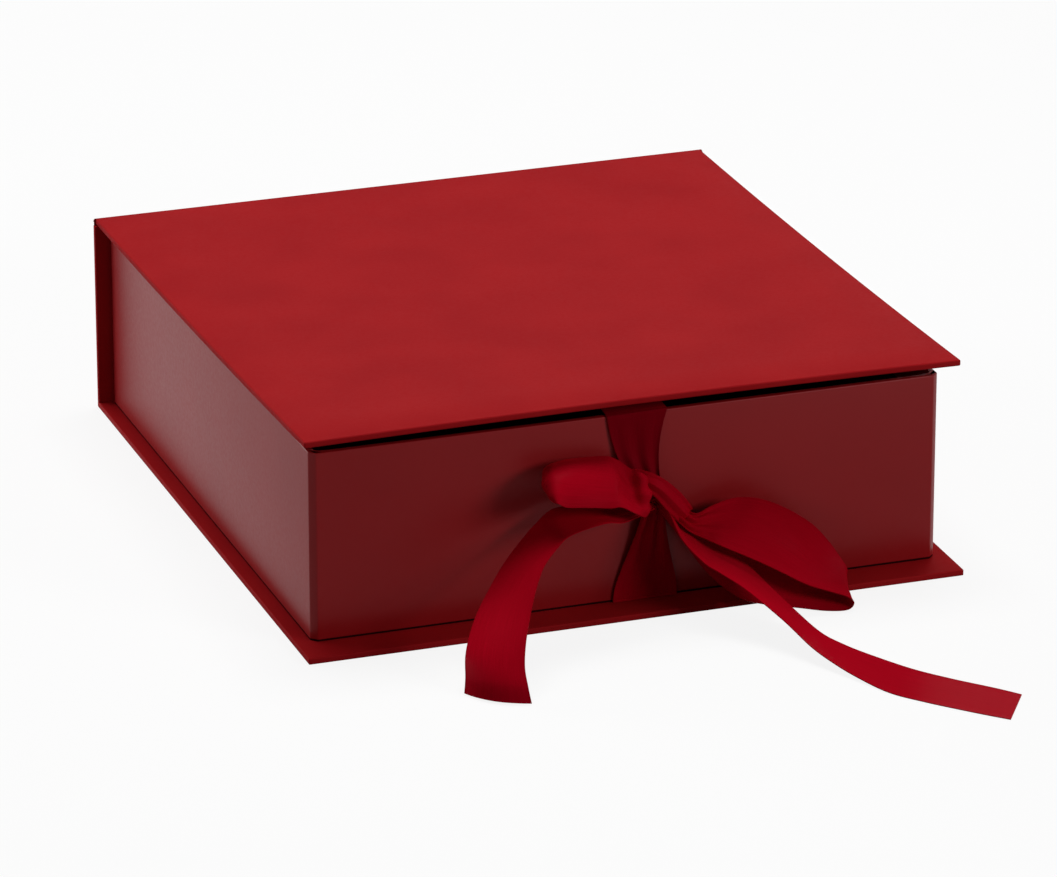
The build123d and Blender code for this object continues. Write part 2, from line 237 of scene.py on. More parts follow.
def satin_material(name, colour, shade_colour):
    """Polyester satin ribbon: floating warp threads, firm selvedges and a stretched soft gloss."""
    material, tree = new_material(name)
    chart = add_node(tree, "ShaderNodeUVMap").outputs["UV"]
    split = add_node(tree, "ShaderNodeSeparateXYZ", {"Vector": chart})
    across = split.outputs["X"]
    stretched = add_node(tree, "ShaderNodeMapping", {
        "Vector": chart, "Scale": (THREADS_ACROSS, THREADS_ALONG, 1.0)})
    threads = add_node(tree, "ShaderNodeTexNoise", {"Vector": stretched.outputs["Vector"], "Scale": 1.0,
                                                    "Detail": 2.0, "Roughness": 0.6}).outputs["Fac"]
    from_middle = add_node(tree, "ShaderNodeMath", {0: across, 1: 0.5}, operation="SUBTRACT").outputs[0]
    to_side = add_node(tree, "ShaderNodeMath", {0: from_middle}, operation="ABSOLUTE").outputs[0]
    selvedge = spread(tree, to_side, 0.5 - SELVEDGE_SHARE, 0.5 - SELVEDGE_SHARE / 2)
    woven = mix_colours(tree, spread(tree, threads, 0.3, 0.7), linear(shade_colour), linear(colour))
    edged = mix_colours(tree, selvedge, woven, linear(shade_colour))
    height = add_node(tree, "ShaderNodeMath", {0: threads, 1: selvedge}, operation="ADD").outputs[0]
    bump = add_node(tree, "ShaderNodeBump", {"Height": height, "Strength": WEAVE_STRENGTH,
                                             "Distance": WEAVE_DEPTH})
    tangent = add_node(tree, "ShaderNodeTangent", direction_type="UV_MAP")
    shader = add_node(tree, "ShaderNodeBsdfPrincipled", {
        "Base Color": edged, "Roughness": 0.36, "Specular IOR Level": 0.04, "IOR": 1.3, "Anisotropic": 0.6,
        "Specular Tint": linear("FF5068"), "Sheen Weight": 0.5, "Sheen Roughness": 0.35,
        "Sheen Tint": linear("F0001C"),
        "Normal": bump.outputs["Normal"], "Tangent": tangent.outputs["Tangent"]})
    close_material(tree, shader.outputs["BSDF"])
    return material


satin = satin_material("crimson_satin_ribbon", "A9041B", "9F0317")
# Painted shade: a darker copy of the satin, for the ribbon that hangs in the shade under the lid.
shade_painted_satin = satin_material("satin_painted_darker_for_shade", "7C0314", "740210")
print("satins:", satin.name, shade_painted_satin.name, "with threads",
      round(RIBBON_WIDTH / THREADS_ACROSS / MM, 2), "mm apart")

# %% [markdown]
# ## Modelling by hand, in code
# Each paper piece starts as a cube at the construction model's size. It is then shaped in edit mode, as
# one would with the mouse: choose faces or edges by their place or direction, then bevel, inset, extrude
# or delete them. Everything is deselected first, because an operator acts on all that is selected.


# %% Helpers for modelling
SAME_DIRECTION = 0.999
SMOOTH_BELOW = math.radians(35)


def leave_edit_mode():
    """Return to object mode if a piece is being edited."""
    if bpy.context.object and bpy.context.object.mode != "OBJECT":
        bpy.ops.object.mode_set(mode="OBJECT")


def add_block(name, low, high):
    """Add a cube between two corners, with its place in its mesh, and make it active."""
    leave_edit_mode()
    bpy.ops.object.select_all(action="DESELECT")
    bpy.ops.mesh.primitive_cube_add(size=1, location=(low + high) / 2, scale=high - low)
    bpy.ops.object.transform_apply(location=True, rotation=True, scale=True)
    piece = bpy.context.object
    piece.name = piece.data.name = name
    return piece


def pick(piece, kind, test):
    """Select in edit mode the faces or edges that pass a test, and nothing else."""
    bpy.ops.object.mode_set(mode="EDIT")
    bpy.ops.mesh.select_mode(type=kind)
    bpy.ops.mesh.select_all(action="DESELECT")
    mesh = bmesh.from_edit_mesh(piece.data)
    mesh.normal_update()
    parts = mesh.faces if kind == "FACE" else mesh.edges
    for part in parts:
        if test(part):
            part.select_set(True)
    bmesh.update_edit_mesh(piece.data)


def faces_towards(*directions):
    """Test for faces that look along one of the directions."""
    return lambda face: any(face.normal.dot(direction) > SAME_DIRECTION for direction in directions)


def middle_of(edge):
    """Middle of an edge."""
    return (edge.verts[0].co + edge.verts[1].co) / 2


def apply_modifier(piece, kind, **settings):
    """Add a modifier, set it and apply it."""
    leave_edit_mode()
    modifier = piece.modifiers.new(kind.lower(), kind)
    for name, value in settings.items():
        setattr(modifier, name, value)
    bpy.context.view_layer.objects.active = piece
    bpy.ops.object.modifier_apply(modifier=modifier.name)


def finish_piece(piece, material, body, slot, *nodes):
    """Smooth a finished piece, give it its material, tie it to its body and hide the nodes it stands for.
    """
    leave_edit_mode()
    bpy.ops.object.select_all(action="DESELECT")
    piece.select_set(True)
    bpy.context.view_layer.objects.active = piece
    bpy.ops.object.shade_smooth_by_angle(angle=SMOOTH_BELOW)
    piece.data.materials.clear()
    piece.data.materials.append(material)
    if body:
        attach(piece, body)
    if nodes:
        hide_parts(*nodes)
    print(piece.name, len(piece.data.polygons), "faces")


# %% [markdown]
# ## Wrapped boards
# The cover is one sheet folded round three boards. Paper can't turn a sharp corner over a board, so
# every edge gets a small round: 0.5 mm, or 0.7 mm on the lid. The sheet is turned in 15 mm on the hidden
# side, which leaves a window that the liner covers. A block with bevelled edges, an inset window and a
# thickness of one sheet gives just that.

# %% Paper wrapped round a board
X, Y, Z = Vector((1, 0, 0)), Vector((0, 1, 0)), Vector((0, 0, 1))
EDGE_ROUND = 0.5 * MM
ROUND_SEGMENTS = 4
TURN_IN = 15 * MM
CLOSE_BY = PAPER / 10


def wrap_board(name, low, high, window, open_ends=(), edge_round=EDGE_ROUND):
    """Shape a sheet round a board, with a window on one side and no paper at the open ends."""
    piece = add_block(name, low, high)
    at_open_end = faces_towards(*open_ends)
    pick(piece, "EDGE", lambda edge: not any(at_open_end(face) for face in edge.link_faces))
    bpy.ops.mesh.bevel(offset=edge_round, segments=ROUND_SEGMENTS, affect="EDGES")
    if open_ends:
        pick(piece, "FACE", at_open_end)
        bpy.ops.mesh.delete(type="FACE")
    pick(piece, "FACE", faces_towards(window))
    bpy.ops.mesh.inset(thickness=TURN_IN - edge_round, use_boundary=False)
    bpy.ops.mesh.delete(type="FACE")
    return piece


# %% [markdown]
# ## Base
# The base board sticks out 15 mm in front of the tray and 6 mm at its sides. Its window is on top,
# under the tray.

# %% Wrap the base
base_low, base_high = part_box("base_wrap")
base_cover = wrap_board("base_cover_paper", base_low, base_high, Z)
apply_modifier(base_cover, "SOLIDIFY", thickness=PAPER, offset=-1)
finish_piece(base_cover, cover_paper, "base", "red_paper", "base_wrap")

# %% [markdown]
# ## Spine
# The spine stands on the base. Its sheet goes on up past the board to 0.9 mm below the fold, because it
# is the same sheet that folds over into the lid.

# %% Wrap the spine
FOLD_REACH = 0.9 * MM
spine_low, spine_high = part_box("spine_board")
spine_cover = wrap_board(
    "spine_cover_paper",
    Vector((base_low.x, spine_low.y - PAPER, spine_low.z)),
    Vector((base_high.x, base_high.y, spine_high.z)),
    -Y, (Z, -Z))
pick(spine_cover, "EDGE", lambda edge: middle_of(edge).z > spine_high.z - EDGE_ROUND
     and abs(middle_of(edge).y - base_high.y) < CLOSE_BY and edge.is_boundary)
bpy.ops.mesh.extrude_region_move(
    TRANSFORM_OT_translate={"value": (0, 0, fold.z - FOLD_REACH - spine_high.z)})
apply_modifier(spine_cover, "SOLIDIFY", thickness=PAPER, offset=-1)
finish_piece(spine_cover, cover_paper, "base", "red_paper", "spine_wrap")

# %% [markdown]
# ## Lid
# Paper and glue pull on one side of a board more than on the other, so the lid has warped: flat at the
# spine, it curves up 5.4 mm at its front edge, and that edge itself bows up 1.1 mm in its middle. Cuts
# about every 24 mm give the mesh enough rows and columns, and each point is then moved onto the curve.
# The base lies at height 0, so its top gives the thickness of a wrapped board.

# %% Wrap the lid
LID_LIFT = 5.4 * MM
LID_EDGE_ROUND = 0.7 * MM
PANEL = base_high.z
lid_under = fold.z + PAPER - PANEL
lid_low, lid_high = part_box("lid_wrap")
lid_reach = fold.y - lid_low.y
lid_radius = lid_reach ** 2 / (2 * LID_LIFT)
LID_STRIPS = 12
LID_BOW = 1.1 * MM


def cut_lid(normal, start, end):
    """Cut the piece in edit mode into equal strips between two places along a direction."""
    for row in range(1, LID_STRIPS):
        bpy.ops.mesh.select_all(action="SELECT")
        bpy.ops.mesh.bisect(plane_co=normal * (start + (end - start) * row / LID_STRIPS), plane_no=normal)


def bow_lid(point):
    """Raise a point of the warped lid, most at the middle of its front edge."""
    along = (fold.y - point.y) / lid_reach
    across = point.x / lid_high.x
    return point + Z * LID_BOW * (1 - across ** 2) * along ** 2


def warp_lid(point):
    """Move a point of the flat lid onto the warped one."""
    angle = (fold.y - point.y) / lid_radius
    radius = lid_radius - (point.z - lid_under)
    return Vector((point.x, fold.y - radius * math.sin(angle),
                   lid_under + lid_radius - radius * math.cos(angle)))


lid_cover = wrap_board(
    "lid_cover_paper",
    Vector((lid_low.x, lid_low.y, lid_under)),
    Vector((lid_high.x, lid_high.y, lid_under + PANEL)),
    -Z, (Y,), LID_EDGE_ROUND)
cut_lid(Y, lid_low.y, lid_high.y)
cut_lid(X, lid_low.x, lid_high.x)
leave_edit_mode()
for vertex in lid_cover.data.vertices:
    vertex.co = bow_lid(warp_lid(vertex.co))
apply_modifier(lid_cover, "SOLIDIFY", thickness=PAPER, offset=-1)
finish_piece(lid_cover, cover_paper, "lid", "red_paper", "lid_wrap")

# %% [markdown]
# ## What is under the lid's paper
# The lid's board and the sheet pasted inside it bow with the cover. Each starts as a copy of the
# construction model's mesh, whose loose triangles are merged before it is cut and bowed. A strip of the
# board's edge shows in the gap of the hinge, where the real sheet covers it, so it is red too.

# %% Bow the board and the liner
MERGE_REACH = MM / 1000

for node in ("lid_board", "lid_liner"):
    leave_edit_mode()
    bpy.ops.object.select_all(action="DESELECT")
    layer = bpy.data.objects.new("bowed_" + node, frame["nodes"][node].data.copy())
    bpy.context.scene.collection.objects.link(layer)
    layer.select_set(True)
    bpy.context.view_layer.objects.active = layer
    bpy.ops.object.mode_set(mode="EDIT")
    bpy.ops.mesh.select_all(action="SELECT")
    bpy.ops.mesh.remove_doubles(threshold=MERGE_REACH)
    cut_lid(X, lid_low.x, lid_high.x)
    leave_edit_mode()
    for vertex in layer.data.vertices:
        vertex.co = bow_lid(vertex.co)
    finish_piece(layer, cover_paper, "lid", "red_paper", node)

# %% [markdown]
# ## Grids laid by a rule
# A fold of paper and a ribbon are both sheets that follow a path. Each starts as a flat grid, and a rule
# then says where a point goes for its share along the sheet and its share across it.


# %% Lay a grid by a rule
def lay_grid(name, along_cells, across_cells, place, length_in_widths=1.0):
    """Add a grid, put each point where the rule says, and map it across and along."""
    leave_edit_mode()
    bpy.ops.object.select_all(action="DESELECT")
    bpy.ops.mesh.primitive_grid_add(x_subdivisions=along_cells, y_subdivisions=across_cells, size=1,
                                    calc_uvs=True)
    piece = bpy.context.object
    piece.name = piece.data.name = name
    shares = [(vertex.co.x + 0.5, vertex.co.y + 0.5) for vertex in piece.data.vertices]
    chart = piece.data.uv_layers[0].data
    for loop in piece.data.loops:
        along, across = shares[loop.vertex_index]
        chart[loop.index].uv = (across, along * length_in_widths)
    for vertex, (along, across) in zip(piece.data.vertices, shares):
        vertex.co = place(along, across)
    return piece


# %% [markdown]
# ## The fold
# The lid turns on the paper between spine and lid. This strip goes round the fold's quarter turn: its
# points follow the spine before the fold and the lid after it.

# %% Bend the fold
FOLD_RADIUS = PAPER + 0.02 * MM
FOLD_THICKNESS = PAPER * 0.8
FOLD_ROWS = 28
FOLD_COLUMNS = 8
lid_edge = fold.y - lid_high.y
fold_turn = FOLD_RADIUS * math.pi / 2
fold_length = FOLD_REACH + fold_turn + lid_edge


def fold_point(along, across):
    """Point of the fold: up the spine, round the quarter turn, then on to the lid."""
    travelled = along * fold_length
    half_width = base_high.x + (lid_high.x - base_high.x) * along
    x = half_width * (2 * across - 1)
    if travelled < FOLD_REACH:
        return Vector((x, fold.y + FOLD_RADIUS, fold.z - FOLD_REACH + travelled))
    if travelled < FOLD_REACH + fold_turn:
        angle = (travelled - FOLD_REACH) / FOLD_RADIUS
        return Vector((x, fold.y + FOLD_RADIUS * math.cos(angle), fold.z + FOLD_RADIUS * math.sin(angle)))
    return Vector((x, fold.y - (travelled - FOLD_REACH - fold_turn), fold.z + FOLD_RADIUS))


fold_strip = lay_grid("hinge_fold_paper", FOLD_ROWS, FOLD_COLUMNS, fold_point)
apply_modifier(fold_strip, "SOLIDIFY", thickness=FOLD_THICKNESS, offset=-1)
finish_piece(fold_strip, cover_paper, None, "red_paper")
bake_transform(fold_strip)

# %% [markdown]
# ## Tray
# The tray's corners are held by gummed tape, which rounds them off into narrow facets. The red paper is
# wrapped round outside, pulled over the rim and turned down 14 mm inside, and turned under at the foot.
# The crease where it turns under shows as a thin dark line of shade, so that strip is painted shade:
# a near-black red, so dark that it looks as if no light got in.

# %% Wrap the tray
CORNER_CUT = 2.5 * MM
RIM_TURN_IN = 14 * MM
FOOT_ROUND = 0.9 * MM
FOOT_SLOPE = FOOT_ROUND / 6
FOOT_TURN_IN = 1.2 * MM
RIM_ROUND = 0.5 * MM
FACET_ROUND = 0.4 * MM
FACET_SEGMENTS = 2
RIM_SEGMENTS = 3
STEEP = 0.9
SHALLOW = 0.5
tray_low, tray_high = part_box("tray_wrap")


def is_upright(edge):
    """Whether an edge stands up."""
    return abs((edge.verts[0].co - edge.verts[1].co).normalized().z) > STEEP


def at_rim_side(edge):
    """Whether an edge lies in the rim and has a wall beside it."""
    return (abs(middle_of(edge).z - tray_high.z) < CLOSE_BY
            and any(abs(face.normal.z) < SHALLOW for face in edge.link_faces))


tray_cover = add_block("tray_cover_paper", Vector((tray_low.x, tray_low.y, tray_low.z + FOOT_ROUND)),
                       tray_high)
pick(tray_cover, "EDGE", is_upright)
bpy.ops.mesh.bevel(offset=CORNER_CUT, segments=1, affect="EDGES")
pick(tray_cover, "EDGE", is_upright)
bpy.ops.mesh.bevel(offset=FACET_ROUND, segments=FACET_SEGMENTS, affect="EDGES")
pick(tray_cover, "FACE", faces_towards(-Z))
bpy.ops.mesh.inset(thickness=FOOT_SLOPE, depth=FOOT_ROUND)
bpy.ops.mesh.inset(thickness=FOOT_TURN_IN)
bpy.ops.mesh.delete(type="FACE")
pick(tray_cover, "FACE", faces_towards(Z))
bpy.ops.mesh.inset(thickness=PANEL)
bpy.ops.mesh.extrude_region_move(TRANSFORM_OT_translate={"value": (0, 0, -RIM_TURN_IN)})
bpy.ops.mesh.delete(type="FACE")
pick(tray_cover, "EDGE", at_rim_side)
bpy.ops.mesh.bevel(offset=RIM_ROUND, segments=RIM_SEGMENTS, affect="EDGES")
apply_modifier(tray_cover, "SOLIDIFY", thickness=PAPER, offset=-1)
# The tray's walls get the darker red: painted shade.
finish_piece(tray_cover, shade_painted_tray_paper, "base", "red_paper", "tray_wrap")
# Painted shade: the faces of the turned-under strip at the foot get the near-black red.
tray_cover.data.materials.append(painted_crease_shade)
for face in tray_cover.data.polygons:
    if face.center.z < tray_low.z + FOOT_ROUND:
        face.material_index = 1

# %% [markdown]
# ## Ribbon
# A ribbon bends freely along its length, hardly at all across its width, and cups a little. So each
# stretch is a table of given stations: the middle of the ribbon, the direction across it, the
# distance between its edges, and how far its middle stands proud. A smooth curve passes through the
# stations. Where a stretch is drawn into the knot, its width gathers into pleats, and in the knot itself
# the ribbon is rolled into a flat tube. The surface under the box stops the cloth: no point sinks into
# it. All numbers in these tables are millimetres, except the directions.

# %% Lay a ribbon
SATIN = 0.28 * MM
PATH_STEPS = 400
JUST_SHORT = 1e-6
LOOK_AHEAD = 0.002
RIBBON_ROWS = 24
STEPS_PER_STATION = 10
PLEATS = 2.5
PLEAT_DEPTH = 1.5
ROLL_TURN = 1.9 * math.pi
ROLL_CREASE = 0.45
ROLL_FOLDS = 5


def smooth_path(values, share):
    """Point at a share of the way along a Catmull-Rom curve through rows of values."""
    last = len(values) - 1
    position = min(share * last, last - JUST_SHORT)
    index = int(position)
    t = position - index
    p0, p1, p2, p3 = (values[min(max(index + step, 0), last)] for step in (-1, 0, 1, 2))
    return 0.5 * (2 * p1 + (p2 - p0) * t + (2 * p0 - 5 * p1 + 4 * p2 - p3) * t ** 2
                  + (3 * p1 - p0 - 3 * p2 + p3) * t ** 3)


def section(across, width, rise, rolled):
    """How far sideways and outwards a point lies, for a gathered ribbon or one rolled into a flat tube."""
    if rolled:
        angle = ROLL_TURN * (across - 0.5)
        crease = ROLL_CREASE * math.cos(ROLL_FOLDS * angle)
        return width / 2 * math.sin(angle), rise * math.cos(angle) + crease
    gathered = 1 - min(width * MM / RIBBON_WIDTH, 1)
    pleat = PLEAT_DEPTH * gathered * math.sin(2 * math.pi * PLEATS * across)
    return width * (across - 0.5), rise * 4 * across * (1 - across) + pleat


def lay_ribbon(name, stations, body, *nodes, held="folded", rests_on=(), rolled=False, finish=satin):
    table = np.array(stations, float)
    table[:, 3:6] /= np.linalg.norm(table[:, 3:6], axis=1)[:, None]
    fine = [smooth_path(table, step / PATH_STEPS)[:3] for step in range(PATH_STEPS + 1)]
    length = sum(np.linalg.norm(b - a) for a, b in zip(fine, fine[1:]))

    def place(along, across):
        row = smooth_path(table, along)
        ahead = (smooth_path(table, min(along + LOOK_AHEAD, 1))
                 - smooth_path(table, max(along - LOOK_AHEAD, 0)))
        sideways = row[3:6] / np.linalg.norm(row[3:6])
        outwards = np.cross(sideways, ahead[:3])
        outwards /= np.linalg.norm(outwards)
        aside, rise = section(across, row[6], row[7], rolled)
        point = Vector(row[:3] + sideways * aside + outwards * rise) * MM
        point.z = max(point.z, SATIN)
        return point

    piece = lay_grid(name, STEPS_PER_STATION * (len(stations) - 1), RIBBON_ROWS, place,
                     length * MM / RIBBON_WIDTH)
    apply_modifier(piece, "SOLIDIFY", thickness=SATIN, offset=0)
    finish_piece(piece, finish, body, "satin_ribbon", *nodes)
    print(name, "length", round(length, 1), "mm")


# %% [markdown]
# ## The two ribbons that come out of the box
# The upper one is glued inside the lid. It comes out of a slit near the lid's front edge, turns down
# over the tray's rim and narrows into the knot. The lower one comes out from under the tray.

# %% Upper and lower ribbon
# The upper ribbon gets the darker satin: painted shade under the lid.
lay_ribbon("upper_ribbon", (
    (3, -95.5, 83.1, 1, 0, 0, 25, 0),
    (3, -114.5, 83.8, 1, 0, 0, 25, 0),
    (3, -120.5, 82.5, 1, 0, 0, 25, 0),
    (3, -129.0, 81.25, 1, 0, 0, 25, 0),
    (2.9, -132.0, 81.05, 1, 0, 0.02, 25, 0),
    (2.8, -132.75, 80.3, 1, 0, 0.03, 24.6, 0.1),
    (2.5, -133.0, 76.0, 1, 0, 0.05, 22.6, 0.5),
    (2.4, -133.6, 70.5, 1, -0.03, 0.07, 19.8, 1.0),
    (2.8, -134.6, 64.5, 1, -0.05, 0.1, 16.8, 1.0),
    (3.8, -135.8, 59.6, 1, -0.05, 0.12, 14.0, 0.8),
    (5.4, -136.6, 55.0, 1, -0.05, 0.1, 11.0, 0.6),
    (7.0, -137.0, 51.5, 1, 0, 0, 9.0, 0.5),
), "lid", "lid_ribbon", held="hung", rests_on=["bowed_lid_board", "tray_cover_paper"], finish=shade_painted_satin)
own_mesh(bpy.data.objects["upper_ribbon"])

lay_ribbon("lower_ribbon", (
    (6.2, -112.0, 2.78, 1, 0, 0, 25, 0),
    (6.4, -131.5, 2.78, 1, 0, 0, 26, 0),
    (6.5, -132.9, 3.6, 1, 0, 0, 26.5, 0),
    (6.6, -133.1, 9.0, 1, 0, 0.02, 25.5, 0.3),
    (7.0, -133.5, 17.0, 1, 0, 0.03, 21, 1.0),
    (7.6, -134.4, 26.0, 1, 0, 0.03, 15.5, 1.4),
    (8.2, -135.8, 35.0, 1, 0, 0.03, 11, 1.2),
    (8.8, -137.2, 44.0, 1, 0, 0.0, 9, 0.8),
), "base", "base_ribbon", held="hung", rests_on=["ribbon_knot"])

# %% [markdown]
# ## The loops
# The left loop is small and round: it goes out along the tray, turns, and comes back behind itself. The
# right loop droops like a leaf. Its tip turns just above the table, and its inner side shows below.

# %% Left and right loop
lay_ribbon("bow_left_loop", (
    (9.0, -138.4, 49.5, 0.2, 0.45, 0.85, 7, 0.4),
    (5.0, -138.8, 50.0, 0.2, 0.45, 0.85, 9.5, 1.0),
    (3.2, -142.2, 51.2, 0.12, 0.5, 0.86, 13, 1.4),
    (-0.2, -149.4, 53.3, 0.05, 0.42, 0.9, 17, 2.0),
    (-4.4, -148.8, 55.2, 0.1, 0.66, 0.74, 19, -1.6),
    (-9.4, -147.6, 58.4, 0.2, 0.78, 0.6, 21.5, 0.6),
    (-14.2, -149.0, 60.2, 0.2, 0.76, 0.63, 23, 3.0),
    (-20.2, -149.2, 61.1, 0.22, 0.8, 0.56, 24, 3.8),
    (-26.7, -149.2, 61.7, 0.24, 0.83, 0.5, 24.4, 4.4),
    (-32.7, -149.0, 62.0, 0.23, 0.86, 0.45, 24.4, 4.6),
    (-36.6, -148.4, 62.3, 0.2, 0.92, 0.33, 23.6, 4.2),
    (-38.0, -147.3, 61.5, 0.15, 0.93, 0.32, 21.4, 3.0),
    (-36.2, -146.6, 60.5, 0.12, 0.92, 0.36, 19.5, 2.0),
    (-28.2, -146.2, 59.7, 0.12, 0.88, 0.46, 17, 1.4),
    (-14.4, -144.6, 57.3, 0.1, 0.8, 0.6, 15, 1.0),
    (-3.7, -141.0, 53.3, 0.1, 0.7, 0.7, 12, 0.8),
    (5.0, -137.8, 50.0, 0.1, 0.6, 0.8, 8, 0.5),
), "base", "left_loop", rests_on=["ribbon_knot"])

lay_ribbon("bow_right_loop", (
    (8.0, -139.6, 49.6, 0.6, 0.3, 0.7, 7, 0.4),
    (13.0, -141.6, 45.0, 0.65, 0.4, 0.65, 6.5, 0.6),
    (18.0, -143.2, 40.2, 0.6, 0.45, 0.66, 6.5, 0.8),
    (22.5, -143.8, 36.6, 0.5, 0.5, 0.7, 8, 1.0),
    (28.0, -144.8, 36.6, 0.45, 0.56, 0.7, 14, 1.6),
    (35.2, -147.4, 37.0, 0.56, 0.52, 0.64, 21.5, 2.4),
    (43.0, -150.6, 35.2, 0.6, 0.4, 0.69, 24, 2.6),
    (52.0, -153.2, 31.0, 0.61, 0.36, 0.70, 24.2, 2.8),
    (61.6, -155.4, 25.0, 0.62, 0.44, 0.62, 24, 3.0),
    (70.0, -155.6, 18.0, 0.6, 0.64, 0.44, 24, 2.6),
    (77.6, -155.0, 12.0, 0.48, 0.84, 0.24, 24, 2.0),
    (83.2, -154.4, 7.4, 0.34, 0.93, 0.12, 24, 1.2),
    (84.6, -154.2, 4.2, 0.25, 0.96, 0.09, 24, 0.8),
    (82.0, -154.2, 2.2, 0.26, 0.95, 0.13, 24, 0.4),
    (74.6, -153.0, 2.6, 0.34, 0.92, 0.15, 24, 0.4),
    (64.0, -150.6, 5.2, 0.42, 0.88, 0.22, 24, 1.0),
    (52.0, -148.4, 9.4, 0.42, 0.78, 0.44, 23.5, 1.8),
    (41.0, -144.6, 15.0, 0.3, 0.55, 0.77, 22, 2.0),
    (29.5, -140.4, 23.8, 0.15, 0.25, 0.95, 18, 1.2),
    (19.5, -138.0, 34.5, 0.15, 0.2, 0.96, 11, 0.6),
    (11.0, -137.4, 44.5, 0.2, 0.3, 0.9, 7, 0.3),
), "base", "right_loop", rests_on=["ribbon_knot"])

# %% [markdown]
# ## The tails
# The left tail arches out from under its loop and stands on its cut end, which bulges towards the
# front as a cut ribbon does. The right tail slides down past its loop, twists flat and lies on the
# table to its slanting cut.

# %% Left and right tail
lay_ribbon("bow_left_tail", (
    (7.0, -138.8, 46.0, 0.0, -0.85, -0.4, 8, 0.3),
    (-1.0, -141.2, 45.4, -0.05, -0.95, -0.25, 13, 0.8),
    (-9.0, -143.6, 45.4, -0.1, -0.98, -0.12, 18.5, 1.0),
    (-18.0, -146.4, 46.6, -0.11, -0.99, 0.05, 23.5, 0.8),
    (-33.5, -149.2, 46.4, -0.10, -0.99, -0.07, 25, 0.4),
    (-42.0, -153.0, 42.6, -0.02, -0.99, -0.05, 25, 0.5),
    (-49.5, -158.0, 38.2, 0.08, -0.99, 0.02, 25, 0.6),
    (-56.0, -164.4, 34.4, 0.26, -0.95, 0.12, 25, 0.5),
    (-62.2, -171.9, 30.2, 0.43, -0.88, 0.2, 25, 0.3),
    (-68.4, -180.2, 24.9, 0.56, -0.81, 0.15, 25, -0.4),
    (-73.8, -188.7, 18.9, 0.65, -0.75, 0.07, 24.8, -1.3),
    (-77.3, -195.7, 12.7, 0.72, -0.69, 0.0, 24.9, -2.4),
    (-78.3, -200.6, 6.2, 0.75, -0.66, 0.0, 25.8, -3.6),
    (-78.3, -201.9, 0.3, 0.762, -0.648, 0.0, 27.4, -4.6),
), "base", "left_tail", rests_on=["ribbon_knot"])

lay_ribbon("bow_right_tail", (
    (9.5, -140.2, 45.0, 0.3, 0.4, -0.87, 7, 0.3),
    (14.0, -142.2, 39.5, 0.42, 0.65, -0.6, 12, 0.6),
    (19.0, -145.8, 33.6, 0.53, 0.82, -0.15, 20, 0.8),
    (26.4, -152.0, 27.4, 0.56, 0.83, -0.02, 25, 0.8),
    (31.8, -157.4, 23.6, 0.57, 0.82, -0.05, 25, 0.8),
    (38.7, -166.0, 17.8, 0.53, 0.83, -0.15, 25, 0.6),
    (47.2, -182.0, 9.8, 0.49, 0.85, -0.19, 25, 0.5),
    (52.9, -197.0, 4.3, 0.49, 0.85, -0.16, 25, 0.5),
    (57.8, -208.4, 2.2, 0.51, 0.85, -0.1, 25, 0.5),
    (63.6, -220.6, 1.0, 0.56, 0.82, -0.04, 25, 0.4),
    (72.0, -237.0, 0.4, 0.68, 0.73, 0.0, 25, 0.3),
    (82.0, -250.2, 0.35, 0.74, 0.67, 0.0, 25, 0.2),
    (92.6, -262.2, 0.35, 0.74, 0.67, 0.0, 25, 0.2),
    (103.75, -274.7, 0.35, 0.546, 0.838, 0.0, 24.35, 0.2),
), "base", "right_tail", rests_on=["ribbon_knot"])

# %% [markdown]
# ## The knot
# The knot is the ribbon's own middle, drawn tight round the crossing. It is laid as a ring, behind the
# bow and over its front, where it arches from upper left to lower right and leaves a dark hole below.

# %% Tie the knot
lay_ribbon("bow_knot_band", (
    (10.0, -135.4, 49.5, 0.7, 0, 0.7, 7, 1.2),
    (17.6, -136.0, 42.2, 0.73, 0, 0.68, 7, 1.2),
    (20.2, -139.5, 39.4, 0.74, 0, 0.67, 7, 1.2),
    (18.2, -143.0, 41.6, 0.74, 0, 0.67, 7.8, 1.5),
    (13.5, -144.4, 47.2, 0.72, 0, 0.69, 8.6, 1.8),
    (8.5, -144.2, 52.8, 0.66, 0, 0.75, 7.6, 1.8),
    (3.5, -143.0, 56.4, 0.45, 0, 0.89, 6.6, 1.8),
    (-1.0, -140.6, 57.4, 0.3, 0, 0.95, 6.2, 1.6),
    (-2.4, -137.8, 56.6, 0.4, 0, 0.92, 6.2, 1.4),
    (1.5, -135.8, 55.0, 0.6, 0, 0.8, 6.6, 1.2),
    (10.0, -135.4, 49.5, 0.7, 0, 0.7, 7, 1.2),
), "base", "ribbon_knot", rolled=True)

# %% [markdown]
# ## The parts that keep their construction shape
# Boards, linings and tape are right as they are, and only get their material. The spine's board shows
# only in the hinge's gap, under its paper, and is red like the lid's.

# %% Dress the other nodes
FINISHES = {
    greyboard: ("base_board", "tray_floor", "tray_front_wall", "tray_back_wall", "tray_left_wall",
                "tray_right_wall"),
    lining_paper: ("lining_front", "lining_back", "lining_left", "lining_right", "lining_floor"),
    cover_paper: ("base_liner", "spine_board", "spine_liner"),
    kraft_tape: ("corner_stays",),
}
for material, names in FINISHES.items():
    for name in names:
        materials = frame["nodes"][name].data.materials
        materials.clear()
        materials.append(material)
    print(material.name + ":", ", ".join(names))

# %% [markdown]
# ## Floor and light
# The box stands on a pale sweep in front of a plain white world, and the lamps are soft: a wide one
# above and slightly behind for the lid, one behind at the left for the sheen of the tray's side, and one
# in front at the right, which throws the bow's shadow on the tray as in the photograph. A weak fourth
# one fills in the corner from the left front. Seen directly or in a gloss, the sweep and the world are
# white. For the light that falls on the box they are darker, so that the lamps shape it.


